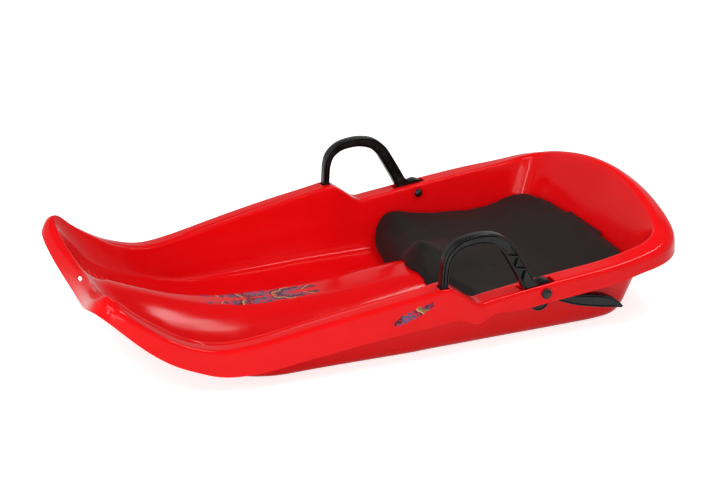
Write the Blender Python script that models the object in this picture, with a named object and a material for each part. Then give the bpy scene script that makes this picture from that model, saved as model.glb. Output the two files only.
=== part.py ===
"""A family bobsled: a moulded plastic shell with a padded seat and two brake levers.

Metres, +Z up, +X towards the nose, +Y towards the rider's left. The origin lies on the ground,
under the middle of the sled.
"""
from math import cos, pi, radians, sin, tau

import bmesh
import bpy
import numpy as np
from mathutils import Vector

# Shell: one skin, bent into a tub with a flange round it and a skirt hanging from the flange.
SHELL = 0.003
FLOOR = 0.0
# Outer edge of the rim, from the middle of the nose to the middle of the back: x, y, z.
RIM = (
    (0.3885, 0.0000, 0.1020),
    (0.3920, 0.0600, 0.1065),
    (0.3970, 0.1080, 0.1185),
    (0.3955, 0.1420, 0.1300),
    (0.3745, 0.1630, 0.1225),
    (0.3515, 0.1700, 0.1045),
    (0.3210, 0.1785, 0.0825),
    (0.2890, 0.1830, 0.0678),
    (0.2575, 0.1860, 0.0600),
    (0.2137, 0.1915, 0.0630),
    (0.1483, 0.1975, 0.0748),
    (0.0779, 0.2035, 0.0867),
    (0.0071, 0.2077, 0.0972),
    (-0.0242, 0.2088, 0.1016),
    (-0.0410, 0.2092, 0.0945),
    (-0.0680, 0.2092, 0.0755),
    (-0.0884, 0.2085, 0.0765),
    (-0.1322, 0.2085, 0.0816),
    (-0.1912, 0.2100, 0.0880),
    (-0.2509, 0.2110, 0.0937),
    (-0.3006, 0.2070, 0.0983),
    (-0.3460, 0.1975, 0.1056),
    (-0.3762, 0.1678, 0.1122),
    (-0.3885, 0.1185, 0.1235),
    (-0.3948, 0.0612, 0.1329),
    (-0.3974, 0.0000, 0.1350),
)
# Line where the walls meet the floor, one point for each point of RIM: x, y.
BASE = (
    (0.3350, 0.0000),
    (0.3350, 0.0480),
    (0.3340, 0.0880),
    (0.3230, 0.1200),
    (0.3030, 0.1360),
    (0.2800, 0.1450),
    (0.2550, 0.1510),
    (0.2300, 0.1550),
    (0.2050, 0.1575),
    (0.1750, 0.1600),
    (0.1300, 0.1620),
    (0.0700, 0.1650),
    (0.0050, 0.1680),
    (-0.0240, 0.1680),
    (-0.0420, 0.1680),
    (-0.0590, 0.1680),
    (-0.0880, 0.1680),
    (-0.1300, 0.1680),
    (-0.1860, 0.1680),
    (-0.2310, 0.1670),
    (-0.2650, 0.1650),
    (-0.2945, 0.1580),
    (-0.3130, 0.1360),
    (-0.3180, 0.0960),
    (-0.3210, 0.0490),
    (-0.3220, 0.0000),
)
NOSE_CORNER = 3
REAR_CORNER = 22
# Width of the flange, its fall from the inner to the outer edge, and the depth of the skirt,
# at a few places along the half of the rim, counted in points of RIM.
FLANGE_WIDTH = ((0, 0.013), (3, 0.015), (6, 0.025), (13, 0.0285), (21, 0.029), (25, 0.023))
FLANGE_FALL = ((0, 0.002), (3, 0.006), (5, 0.0), (19, 0.0), (22, 0.008), (25, 0.013))
SKIRT_DEPTH = ((0, 0.020), (1, 0.016), (2, 0.0115), (3, 0.0115), (3.5, 0.017), (4, 0.025),
               (5, 0.030), (7, 0.030), (9, 0.037), (11, 0.040), (13, 0.045), (16, 0.0175),
               (17, 0.0245), (19, 0.0245), (20, 0.021), (25, 0.030))
SKIRT_FLARE = 0.002
RIM_RADIUS = 0.006
WALL_RADIUS = ((0, 0.014), (9, 0.014), (13, 0.022), (17, 0.022), (21, 0.018), (25, 0.014))
# The floor sweeps up in front of this place, in a parabola.
SWEEP_START = 0.170
SWEEP_RATE = 2.1
# Ridge between the two footwells: height of its crest at a few places, x and z.
RIDGE_CREST = ((-0.305, 0.0030), (-0.262, 0.0330), (-0.235, 0.0410), (-0.060, 0.0410),
               (0.000, 0.0375), (0.060, 0.0340), (0.120, 0.0340), (0.160, 0.0357), (0.200, 0.0403),
               (0.255, 0.0540), (0.307, 0.0737), (0.377, 0.1040))
RIDGE_FLAT = ((0.060, 0.018), (0.200, 0.015), (0.300, 0.007), (0.370, 0.003))
RIDGE_HALF_WIDTH = ((-0.30, 0.085), (0.10, 0.085), (0.30, 0.070), (0.39, 0.060))

# Mesh of the shell: columns across the floor, rows along it, and how its rows crowd at the step.
ACROSS = 10
ALONG = 42
MIDDLE_CROWDING = 1.35
STEP_X = -0.045
STEP_CROWDING = 1.6
STEP_REACH = 0.045

# Slot for a tow rope, through the flange at the middle of the nose.
ROPE_SLOT_WIDTH = 0.024
ROPE_SLOT_LENGTH = 0.0055
ROPE_SLOT_INSET = 0.0058
ROPE_SLOT_REACH = 0.012

# Brake levers: each turns on a bolt across the gap between the tub and the skirt.
PIVOT_X = -0.1613
PIVOT_Z = 0.0741
LEVER_PLANE = 0.1975
LEVER_THICKNESS = 0.013
LEVER_EDGE = 0.0022
LEVER_SLOT_FRONT = -0.1215
LEVER_SLOT_REAR = -0.1815
LEVER_SLOT_GAP = 0.0015
HUB_RADIUS = 0.0160
# Middle line and width of the loop, from above its front foot to the hub: x, z, width.
FOOT_X = -0.0232
FOOT_WIDTH = 0.0105
LOOP = (
    (-0.0232, 0.1180, 0.0108),
    (-0.0238, 0.1330, 0.0110),
    (-0.0290, 0.1460, 0.0115),
    (-0.0430, 0.1555, 0.0120),
    (-0.0600, 0.1588, 0.0125),
    (-0.0780, 0.1586, 0.0136),
    (-0.0955, 0.1530, 0.0150),
    (-0.1085, 0.1420, 0.0160),
    (-0.1170, 0.1290, 0.0164),
    (-0.1240, 0.1170, 0.0165),
    (-0.1312, 0.1045, 0.0166),
    (-0.1395, 0.0890, 0.0170),
)
# Middle line and width of the claw, from the hub to its tip: x, z, width.
CLAW = (
    (-0.1780, 0.0660, 0.0130),
    (-0.1970, 0.0585, 0.0140),
    (-0.2160, 0.0525, 0.0160),
    (-0.2340, 0.0485, 0.0170),
    (-0.2520, 0.0442, 0.0168),
    (-0.2670, 0.0390, 0.0120),
    (-0.2800, 0.0322, 0.0030),
)
LOBE_X = -0.1570
LOBE_Z = 0.0612
LOBE_RADIUS = 0.0136
LATTICE_DEPTH = 0.004
LATTICE_RIB = 0.0020
LATTICE_WALL = 0.0022
LATTICE_START = 0.60
LATTICE_END = 0.97
LATTICE_BAYS = 3
STOP_CLEARANCE = 0.0006

# Fasteners.
BOLT_RADIUS = 0.004
BOLT_CLEARANCE = 0.0003
HEAD_RADIUS = 0.0068
HEAD_HEIGHT = 0.0042
NUT_RADIUS = 0.0062
NUT_HEIGHT = 0.0055
BOSS_RADIUS = 0.0092
WASHER_RADIUS = 0.0085
WASHER_THICKNESS = 0.0010
SEAT_GAP = 0.0003

# Seat pad, laid in the tub over the ridge and up the back: how far behind its front edge its
# surface has which height, what its pommel adds along the middle, and its raised or drawn-in edge
# along the walls. Its block is wider than the floor, and the tub's walls trim it.
PAD_FRONT = -0.0575
PAD_FRONT_BOW = 0.029
PAD_HALF_WIDTH = 1.05 * max(y for _, y in BASE)
PAD_PROFILE = ((0.000, -0.004), (0.000, 0.020), (0.004, 0.034), (0.012, 0.044), (0.022, 0.048),
               (0.036, 0.0492), (0.060, 0.0495), (0.100, 0.0495), (0.150, 0.0495), (0.185, 0.0525),
               (0.215, 0.0585), (0.250, 0.0658), (0.280, 0.0717), (0.312, 0.0755))
PAD_POMMEL = ((0.000, 0.019), (0.012, 0.017), (0.022, 0.022), (0.030, 0.0257), (0.038, 0.0243),
              (0.045, 0.0197), (0.056, 0.0132), (0.066, 0.0092), (0.090, 0.005), (0.130, 0.002),
              (0.170, 0.000))
PAD_POMMEL_HALF_WIDTH = 0.062
PAD_EDGE = ((0.000, 0.004), (0.025, 0.009), (0.060, 0.003), (0.093, -0.002), (0.125, -0.0045),
            (0.158, -0.006), (0.191, -0.0045), (0.224, -0.0015), (0.300, 0.000))
PAD_EDGE_START = 0.100
PAD_ACROSS = 20
PAD_STEPS = 2
PAD_CLEARANCE = 0.0003
STUD_RADIUS = 0.004
STUD_HEAD_RADIUS = 0.0085
STUD_HEAD_HEIGHT = 0.0025
STUD_DEPTH = 0.005
STUD_CLEARANCE = 0.0004
STUD_PLACES = (-0.110, -0.205)

SIDES = {"left": 1, "right": -1}

COLOURS = {
    "shell_red": ((0.80, 0.010, 0.013), 0.32),
    "lever_black": ((0.020, 0.020, 0.021), 0.42),
    "pad_black": ((0.030, 0.028, 0.027), 0.85),
    "bolt_black": ((0.012, 0.012, 0.013), 0.30),
    "washer_grey": ((0.25, 0.25, 0.26), 0.35),
    "stud_black": ((0.015, 0.015, 0.016), 0.50),
}


def material(name):
    colour, roughness = COLOURS[name]
    made = bpy.data.materials.get(name) or bpy.data.materials.new(name)
    made.use_nodes = True
    shader = made.node_tree.nodes["Principled BSDF"]
    shader.inputs["Base Color"].default_value = (*colour, 1.0)
    shader.inputs["Roughness"].default_value = roughness
    shader.inputs["Metallic"].default_value = 1.0 if name == "washer_grey" else 0.0
    return made


def add_object(name, bm, material_name=None, parent=None):
    """Make an object of a bmesh; without a material it is a hidden cutter."""
    mesh = bpy.data.meshes.new(name)
    bm.to_mesh(mesh)
    bm.free()
    made = bpy.data.objects.new(name, mesh)
    bpy.context.collection.objects.link(made)
    if material_name:
        mesh.materials.append(material(material_name))
        mesh.shade_smooth()
        mesh.set_sharp_from_angle(angle=radians(35))
    else:
        made.hide_render = True
        made.display_type = "WIRE"
    if parent:
        made.parent = parent
    return made


def cut(target, cutter, operation="DIFFERENCE"):
    step = target.modifiers.new(f"{operation.lower()} {cutter.name}", "BOOLEAN")
    step.operation = operation
    step.solver = "MANIFOLD"
    step.object = cutter


def along(table, place):
    """Value at a place of a table of (place, value) pairs, straight between them."""
    keys, values = zip(*table)
    return float(np.interp(place, keys, values))


def eased(table, x):
    """Value at x of a table of (x, value) pairs, as a smooth curve with no overshoot."""
    keys, values = (np.array(column, float) for column in zip(*table))
    if x <= keys[0]:
        return float(values[0])
    if x >= keys[-1]:
        return float(values[-1])
    rates = np.diff(values) / np.diff(keys)
    slopes = np.zeros(len(keys))
    slopes[0], slopes[-1] = rates[0], rates[-1]
    for k in range(1, len(rates)):
        if rates[k - 1] * rates[k] > 0:
            slopes[k] = 2 * rates[k - 1] * rates[k] / (rates[k - 1] + rates[k])
    i = int(np.searchsorted(keys, x, side="right")) - 1
    span = keys[i + 1] - keys[i]
    t = (x - keys[i]) / span
    return float((1 + 2 * t) * (1 - t) ** 2 * values[i] + t * (1 - t) ** 2 * span * slopes[i]
                 + t * t * (3 - 2 * t) * values[i + 1] + t * t * (t - 1) * span * slopes[i + 1])


def mirrored(points):
    """Points with one more at each end, that mirror the curve in y there."""
    points = np.array(points, float)
    return np.vstack([points[1] * (1, -1, 1)[:len(points[1])], points,
                      points[-2] * (1, -1, 1)[:len(points[-2])]])


def open_ended(points):
    """Points with one more at each end, in line with the last two there."""
    points = np.array(points, float)
    return np.vstack([2 * points[0] - points[1], points, 2 * points[-1] - points[-2]])


def spline(points, place):
    """Point of a smooth curve at a place counted in points, of which the first and last only
    guide its ends."""
    i = min(int(place), len(points) - 4)
    t = place - i
    before, start, end, after = points[i:i + 4]
    return start + 0.5 * t * (end - before + t * (2 * before - 5 * start + 4 * end - after
                                                  + t * (3 * (start - end) + after - before)))


RIM_TOP = max(z for _, _, z in RIM)
LID = 1.2 * RIM_TOP
RIM_CURVE = mirrored(RIM)
BASE_CURVE = mirrored(BASE)
LAST = len(RIM) - 1


def floor_height(x, y):
    """Top of the floor, with its ridge and the sweep of the nose."""
    level = FLOOR + SHELL + SWEEP_RATE * max(0.0, x - SWEEP_START) ** 2
    half_width = eased(RIDGE_HALF_WIDTH, x)
    flat = eased(RIDGE_FLAT, x)
    t = min(1.0, max(0.0, (abs(y) - flat) / (half_width - flat)))
    rise = max(0.0, FLOOR + eased(RIDGE_CREST, x) - level)
    return level + rise * cos(pi / 2 * t) ** 2


def corner(start, bend, end, radius, steps):
    """Points that round the corner at bend, from its start side to its end side."""
    first = bend + (start - bend).normalized() * min(radius, 0.45 * (start - bend).length)
    last = bend + (end - bend).normalized() * min(radius, 0.45 * (end - bend).length)
    return [first.lerp(bend, t).lerp(bend.lerp(last, t), t)
            for t in (k / steps for k in range(steps + 1))]


class Station:
    """One place on the rim, with the section of the shell there."""

    def __init__(self, place, side):
        self.place = place
        self.rim = Vector(spline(RIM_CURVE, place) * (1, side, 1))
        self.base = Vector((*(spline(BASE_CURVE, place) * (1, side)), 0.0))
        step = 0.01
        run = spline(RIM_CURVE, min(LAST, place + step)) - spline(RIM_CURVE, max(0, place - step))
        self.out = Vector((-run[1], run[0] * side, 0.0)).normalized()
        if self.out.dot(self.rim - self.base) < 0:
            self.out.negate()

    def section(self):
        """Points from the floor, up the wall, over the flange and down the skirt."""
        up = Vector((0, 0, 1))
        outer = self.rim
        inner = outer - self.out * along(FLANGE_WIDTH, self.place)
        inner.z += along(FLANGE_FALL, self.place)
        hem = outer + self.out * SKIRT_FLARE - up * along(SKIRT_DEPTH, self.place)
        foot = self.base.copy()
        foot.z = floor_height(foot.x, foot.y)
        radius = along(WALL_RADIUS, self.place)
        inwards = foot - self.inward() * radius
        inwards.z = floor_height(inwards.x, inwards.y)
        wall = corner(inwards, foot, inner, radius, 4)
        wall[0] = inwards
        wall.append(wall[-1].lerp(inner, 0.5))
        tub = wall + corner(foot, inner, outer, RIM_RADIUS, 3)
        flange = corner(inner, outer, hem, RIM_RADIUS, 3)
        return tub, flange + [flange[-1].lerp(hem, 0.5), hem]

    def inward(self):
        """Unit vector in plan from the middle of the floor out to the wall."""
        return (self.rim - self.base).xy.to_3d().normalized()


def crowded(column, columns):
    """Place of a column of a grid across the sled, from -1 to 1, closer together in the middle."""
    share = 2 * column / columns - 1
    return abs(share) ** MIDDLE_CROWDING * (1 if share > 0 else -1)


def stations():
    """Stations round the shell, from the nose's right corner, across the nose to the left side,
    along it to the back, across and forwards again."""
    reach = np.linspace(NOSE_CORNER, REAR_CORNER, 400)
    curve = np.array([spline(RIM_CURVE, p) for p in reach])
    length = np.linalg.norm(np.diff(curve, axis=0), axis=1)
    crowding = 1 + STEP_CROWDING * np.exp(-((curve[1:, 0] - STEP_X) / STEP_REACH) ** 2)
    measure = np.concatenate(([0.0], np.cumsum(length * crowding)))
    side = np.interp(np.linspace(0, measure[-1], ALONG + 1), measure, reach)
    half = ACROSS // 2
    shares = [crowded(half + k, ACROSS) for k in range(half + 1)]
    nose = [NOSE_CORNER * share for share in shares]
    back = [LAST - (LAST - REAR_CORNER) * share for share in shares[::-1]]
    left = [Station(p, 1) for p in (*nose, *side[1:], *back[1:])]
    right = [Station(p, -1) for p in (*nose[1:], *side[1:], *back[1:-1])]
    return right[:half][::-1] + left + right[half:][::-1]


def grid_ring(bm):
    """Border vertices of a grid, in the order of the stations."""
    rows = ALONG + 1
    columns = ACROSS + 1
    bm.verts.ensure_lookup_table()

    def vertex(row, column):
        return bm.verts[row * columns + column]

    ring = [vertex(rows - 1, c) for c in range(columns)]
    ring += [vertex(r, columns - 1) for r in range(rows - 2, -1, -1)]
    ring += [vertex(0, c) for c in range(columns - 2, -1, -1)]
    ring += [vertex(r, 0) for r in range(1, rows - 1)]
    return ring


def shell_sheet(with_flange=True):
    """The shell's upper skin: a grid for the floor, with its border extruded ring by ring."""
    bm = bmesh.new()
    bmesh.ops.create_grid(bm, x_segments=ACROSS, y_segments=ALONG, size=0.5)
    ring = grid_ring(bm)
    sections = [station.section() for station in stations()]
    paths = [tub + (flange if with_flange else []) for tub, flange in sections]
    fill_floor(bm, [path[0] for path in paths])
    for depth in range(1, len(paths[0])):
        edges = [bm.edges.get((a, b)) for a, b in zip(ring, ring[1:] + ring[:1])]
        made = bmesh.ops.extrude_edge_only(bm, edges=edges)
        new = {v for v in made["geom"] if isinstance(v, bmesh.types.BMVert)}
        ring = [next(e.other_vert(v) for e in v.link_edges if e.other_vert(v) in new)
                for v in ring]
        for vertex, path in zip(ring, paths):
            vertex.co = path[depth]
    bmesh.ops.recalc_face_normals(bm, faces=bm.faces)
    bm.faces.ensure_lookup_table()
    middle = min(bm.faces, key=lambda f: f.calc_center_median().to_2d().length)
    if middle.normal.z < 0:
        bmesh.ops.reverse_faces(bm, faces=bm.faces)
    return bm, ring


def fill_floor(bm, border):
    """Spread the grid between its border points, and set it on the floor."""
    bm.verts.ensure_lookup_table()
    columns = ACROSS + 1
    front = border[:columns]
    left = border[ACROSS:ACROSS + ALONG + 1][::-1]
    rear = border[ACROSS + ALONG:ACROSS + ALONG + columns][::-1]
    right = border[2 * ACROSS + ALONG:] + border[:1]
    for index, vertex in enumerate(list(bm.verts)):
        row, column = divmod(index, columns)
        s = row / ALONG
        t = (1 + crowded(column, ACROSS)) / 2
        spread = (rear[column] * (1 - s) + front[column] * s + right[row] * (1 - t) + left[row] * t
                  - rear[0] * (1 - s) * (1 - t) - rear[-1] * (1 - s) * t
                  - front[0] * s * (1 - t) - front[-1] * s * t)
        vertex.co = (spread.x, spread.y, floor_height(spread.x, spread.y))


def cylinder(radius, start, end, segments=24):
    """Solid cylinder between two points."""
    bm = bmesh.new()
    axis = end - start
    turn = Vector((0, 0, 1)).rotation_difference(axis).to_matrix().to_4x4()
    bmesh.ops.create_cone(bm, cap_ends=True, segments=segments, radius1=radius, radius2=radius,
                          depth=axis.length)
    bmesh.ops.transform(bm, matrix=turn, verts=bm.verts)
    bmesh.ops.translate(bm, vec=(start + end) / 2, verts=bm.verts)
    return bm


def box(low, high):
    """Solid box between two corners."""
    bm = bmesh.new()
    bmesh.ops.create_cube(bm, size=1.0)
    size = high - low
    bmesh.ops.scale(bm, vec=size, verts=bm.verts)
    bmesh.ops.translate(bm, vec=(low + high) / 2, verts=bm.verts)
    return bm


def turned(profile, axis_x, axis_z, side, segments=24):
    """Round solid about the pivot's axis, from a profile of (radius, y) pairs."""
    bm = bmesh.new()
    verts = [bm.verts.new((axis_x + r, y * side, axis_z)) for r, y in profile]
    edges = [bm.edges.new(pair) for pair in zip(verts, verts[1:])]
    bmesh.ops.spin(bm, geom=verts + edges, cent=(axis_x, 0, axis_z), axis=(0, 1, 0), angle=tau,
                   steps=segments, use_merge=True)
    bmesh.ops.remove_doubles(bm, verts=bm.verts, dist=1e-6)
    bmesh.ops.recalc_face_normals(bm, faces=bm.faces)
    return bm


def left_station(x):
    """The left side's station at a place along the sled."""
    places = np.linspace(NOSE_CORNER, REAR_CORNER, 400)
    return Station(min(places, key=lambda p: abs(spline(RIM_CURVE, p)[0] - x)), 1)


def wall_at(x, z):
    """Y of the tub's inner face on the left side at a place along it and a height."""
    tub, _ = left_station(x).section()
    return float(np.interp(z, [p.z for p in tub], [p.y for p in tub]))


def skirt_at(x, z):
    """Y of the skirt's outer face on the left side."""
    _, flange = left_station(x).section()
    top, hem = flange[-3], flange[-1]
    return float(np.interp(z, (hem.z, top.z), (hem.y, top.y)))


LEVER_INNER = LEVER_PLANE - LEVER_THICKNESS / 2
LEVER_OUTER = LEVER_PLANE + LEVER_THICKNESS / 2


def boss_faces():
    """Y of the four faces that the bolt passes: nut seat, inner boss, outer boss and head seat."""
    inner_boss = LEVER_INNER - 2 * SEAT_GAP - WASHER_THICKNESS
    outer_boss = LEVER_OUTER + 2 * SEAT_GAP + WASHER_THICKNESS
    nut_seat = wall_at(PIVOT_X, PIVOT_Z) - 0.0012
    head_seat = skirt_at(PIVOT_X, PIVOT_Z) + 0.0006
    return nut_seat, inner_boss, outer_boss, head_seat


def shell():
    bm, _ = shell_sheet()
    made = add_object("shell", bm, "shell_red")
    skin = made.modifiers.new("skin", "SOLIDIFY")
    skin.thickness = SHELL
    skin.offset = -1.0
    skin.use_even_offset = True
    nut_seat, inner_boss, outer_boss, head_seat = boss_faces()
    for name, side in SIDES.items():
        for kind, start, end in (("inner", nut_seat, inner_boss), ("outer", outer_boss, head_seat)):
            boss = add_object(f"boss_{kind}_{name}", cylinder(
                BOSS_RADIUS, Vector((PIVOT_X, start * side, PIVOT_Z)),
                Vector((PIVOT_X, end * side, PIVOT_Z))))
            cut(made, boss, "UNION")
        hole = add_object(f"bolt_hole_{name}", cylinder(
            BOLT_RADIUS + BOLT_CLEARANCE, Vector((PIVOT_X, (nut_seat - 0.01) * side, PIVOT_Z)),
            Vector((PIVOT_X, (head_seat + 0.01) * side, PIVOT_Z))))
        cut(made, hole)
        half = LEVER_THICKNESS / 2 + LEVER_SLOT_GAP
        ends = sorted(((LEVER_PLANE - half) * side, (LEVER_PLANE + half) * side))
        slot = add_object(f"lever_slot_{name}", box(
            Vector((LEVER_SLOT_REAR, ends[0], PIVOT_Z + BOLT_RADIUS)),
            Vector((LEVER_SLOT_FRONT, ends[1], LID))))
        cut(made, slot)
    middle = Vector(RIM[0]) - Vector((ROPE_SLOT_INSET, 0, 0))
    reach = Vector((ROPE_SLOT_LENGTH / 2, ROPE_SLOT_WIDTH / 2, ROPE_SLOT_REACH))
    rope_slot = add_object("rope_slot", box(middle - reach, middle + reach))
    cut(made, rope_slot)
    return made


def rim_height(x):
    """Height of the flange's top on the left side at a place along the sled."""
    return left_station(x).rim.z


def strip(middle, steps):
    """The two sides of a flat strip, from its middle line and width (x, z, width)."""
    points = open_ended(middle)
    sides = ([], [])
    for k in range((len(middle) - 1) * steps + 1):
        place = k / steps
        x, z, width = spline(points, place)
        ahead = spline(points, min(len(middle) - 1, place + 0.01))
        behind = spline(points, max(0, place - 0.01))
        run = Vector((ahead[0] - behind[0], ahead[1] - behind[1])).normalized()
        across = Vector((-run.y, run.x)) * width / 2
        sides[0].append(Vector((x, z)) + across)
        sides[1].append(Vector((x, z)) - across)
    return sides


def arc(centre, radius, start, end, steps):
    """Points on an arc in the lever's plane, between two angles in degrees."""
    angles = [radians(start + (end - start) * k / steps) for k in range(steps + 1)]
    return [Vector((centre[0] + radius * cos(a), centre[1] + radius * sin(a))) for a in angles]


def loop_line():
    """Middle line of the loop, with its foot resting on the rim."""
    foot = (FOOT_X, rim_height(FOOT_X) + STOP_CLEARANCE, FOOT_WIDTH)
    return (foot, *LOOP)


def prism(outlines, low, high):
    """Solid plates of the same outlines in X and Z, between two values of y."""
    bm = bmesh.new()
    for outline in outlines:
        face = bm.faces.new([bm.verts.new((p.x, low, p.y)) for p in outline])
        made = bmesh.ops.extrude_face_region(bm, geom=[face])
        moved = [v for v in made["geom"] if isinstance(v, bmesh.types.BMVert)]
        bmesh.ops.translate(bm, vec=(0, high - low, 0), verts=moved)
    bmesh.ops.recalc_face_normals(bm, faces=bm.faces)
    return bm


def lever_outline():
    inner, outer = strip(loop_line(), 3)
    lower, upper = strip(CLAW, 2)
    lobe = arc((LOBE_X, LOBE_Z), LOBE_RADIUS, 25, -165, 9)
    hub = arc((PIVOT_X, PIVOT_Z), HUB_RADIUS, 192, 62, 8)
    return inner + lobe + lower + upper[::-1] + hub + outer[::-1]


def inset(triangle, distance):
    """A triangle drawn in by the same distance on each side."""
    a, b, c = triangle
    sides = ((b - c).length, (c - a).length, (a - b).length)
    middle = (a * sides[0] + b * sides[1] + c * sides[2]) / sum(sides)
    area = abs((b - a).x * (c - a).y - (b - a).y * (c - a).x) / 2
    radius = 2 * area / sum(sides)
    return [middle + (p - middle) * (1 - distance / radius) for p in triangle]


def lattice():
    """Three-cornered pockets between crossed ribs down the loop's rear leg."""
    points = open_ended(loop_line())
    rows = []
    for k in range(LATTICE_BAYS + 1):
        share = LATTICE_START + (LATTICE_END - LATTICE_START) * k / LATTICE_BAYS
        place = share * (len(points) - 3)
        x, z, width = spline(points, place)
        run = spline(points, place + 0.01) - spline(points, place - 0.01)
        across = Vector((-run[1], run[0])).normalized() * (width / 2 - LATTICE_WALL)
        rows.append((Vector((x, z)) + across, Vector((x, z)) - across))
    pockets = []
    for (a, b), (c, d) in zip(rows, rows[1:]):
        middle = (a + b + c + d) / 4
        for pair in ((a, b), (b, d), (d, c), (c, a)):
            pockets.append(inset((*pair, middle), LATTICE_RIB / 2))
    return pockets


def lever(name, side):
    """One brake lever: loop handle, hub and claw in one moulding, turning about its bolt."""
    pivot = bpy.data.objects.new(f"pivot_{name}", None)
    pivot.location = (PIVOT_X, LEVER_PLANE * side, PIVOT_Z)
    bpy.context.collection.objects.link(pivot)
    faces = sorted((LEVER_INNER * side, LEVER_OUTER * side))
    bm = prism([lever_outline()], *faces)
    bmesh.ops.translate(bm, vec=-pivot.location, verts=bm.verts)
    made = add_object(f"brake_lever_{name}", bm, "lever_black", pivot)
    edge = made.modifiers.new("edge", "BEVEL")
    edge.width = LEVER_EDGE
    edge.segments = 2
    edge.limit_method = "ANGLE"
    edge.angle_limit = radians(60)
    outer = LEVER_OUTER * side
    ends = sorted((outer - LATTICE_DEPTH * side, outer + LATTICE_DEPTH * side))
    cut(made, add_object(f"lattice_{name}", prism(lattice(), *ends)))
    hole = cylinder(BOLT_RADIUS + BOLT_CLEARANCE, Vector((PIVOT_X, faces[0] - 0.01, PIVOT_Z)),
                    Vector((PIVOT_X, faces[1] + 0.01, PIVOT_Z)))
    cut(made, add_object(f"lever_bore_{name}", hole))


def dome(radius, start, height, steps=4):
    """Profile of a domed end, from its rim at start to its top, as (radius, y) pairs."""
    return [(radius * cos(a), start + height * sin(a))
            for a in (pi / 2 * k / steps for k in range(steps + 1))]


def fasteners(name, side):
    nut_seat, inner_boss, outer_boss, head_seat = boss_faces()
    under_head = head_seat + SEAT_GAP
    nut_face = nut_seat - SEAT_GAP
    shank_end = nut_face - NUT_HEIGHT * 0.5
    bolt = [(0, shank_end), (BOLT_RADIUS, shank_end), (BOLT_RADIUS, under_head),
            *dome(HEAD_RADIUS, under_head, HEAD_HEIGHT)]
    add_object(f"pivot_bolt_{name}", turned(bolt, PIVOT_X, PIVOT_Z, side), "bolt_black")
    bore = BOLT_RADIUS + BOLT_CLEARANCE
    nut = [(0, shank_end - BOLT_CLEARANCE), (bore, shank_end - BOLT_CLEARANCE), (bore, nut_face),
           *dome(NUT_RADIUS, nut_face, -NUT_HEIGHT)]
    add_object(f"cap_nut_{name}", turned(nut, PIVOT_X, PIVOT_Z, side), "bolt_black")
    for kind, start in (("inner", inner_boss + SEAT_GAP), ("outer", LEVER_OUTER + SEAT_GAP)):
        end = start + WASHER_THICKNESS
        ring = [(bore, start), (WASHER_RADIUS, start), (WASHER_RADIUS, end), (bore, end),
                (bore, start)]
        add_object(f"washer_{kind}_{name}", turned(ring, PIVOT_X, PIVOT_Z, side), "washer_grey")


def cavity():
    """The space in the tub, clear of its skin, closed with a flat lid above the rim."""
    bm, ring = shell_sheet(with_flange=False)
    bm.normal_update()
    for vertex in bm.verts:
        vertex.co += vertex.normal * PAD_CLEARANCE
    edges = [bm.edges.get((a, b)) for a, b in zip(ring, ring[1:] + ring[:1])]
    made = bmesh.ops.extrude_edge_only(bm, edges=edges)
    lid = [v for v in made["geom"] if isinstance(v, bmesh.types.BMVert)]
    for vertex in lid:
        vertex.co.z = LID
    rim = [e for e in made["geom"] if isinstance(e, bmesh.types.BMEdge)]
    bmesh.ops.contextual_create(bm, geom=[e for e in rim if e.is_boundary])
    bmesh.ops.recalc_face_normals(bm, faces=bm.faces)
    return add_object("cavity", bm)


def pad_point(share, behind, height):
    """A point of the pad's top, at a share of the half width across it."""
    y = share * PAD_HALF_WIDTH
    across = abs(y)
    x = PAD_FRONT - PAD_FRONT_BOW * (across / PAD_HALF_WIDTH) ** 1.4 - behind
    if height > 0:
        middle = max(0.0, 1 - across / PAD_POMMEL_HALF_WIDTH)
        edge = max(0.0, (across - PAD_EDGE_START) / (PAD_HALF_WIDTH - PAD_EDGE_START))
        height += eased(PAD_POMMEL, behind) * sin(pi / 2 * middle) ** 2
        height += along(PAD_EDGE, behind) * sin(pi / 2 * edge) ** 2
    return Vector((x, y, height))


def seat_pad():
    """Padded seat: a saddle-shaped block, kept to the space in the tub."""
    profile = open_ended(PAD_PROFILE)
    rows = (len(PAD_PROFILE) - 1) * PAD_STEPS
    bm = bmesh.new()
    bmesh.ops.create_grid(bm, x_segments=PAD_ACROSS, y_segments=rows, size=0.5)
    bm.verts.ensure_lookup_table()
    for index, vertex in enumerate(bm.verts):
        row, column = divmod(index, PAD_ACROSS + 1)
        behind, height = spline(profile, row / PAD_STEPS)
        vertex.co = pad_point(crowded(column, PAD_ACROSS), behind, height)
    border = [e for e in bm.edges if e.is_boundary]
    made = bmesh.ops.extrude_edge_only(bm, edges=border)
    for vertex in made["geom"]:
        if isinstance(vertex, bmesh.types.BMVert):
            vertex.co.z = PAD_PROFILE[0][1] - 0.001
    loop = [e for e in made["geom"] if isinstance(e, bmesh.types.BMEdge) and e.is_boundary]
    bmesh.ops.contextual_create(bm, geom=loop)
    bmesh.ops.recalc_face_normals(bm, faces=bm.faces)
    made = add_object("seat_pad", bm, "pad_black")
    cut(made, cavity(), "INTERSECT")
    for number, x in enumerate(STUD_PLACES, 1):
        stud(number, x, made)


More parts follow.
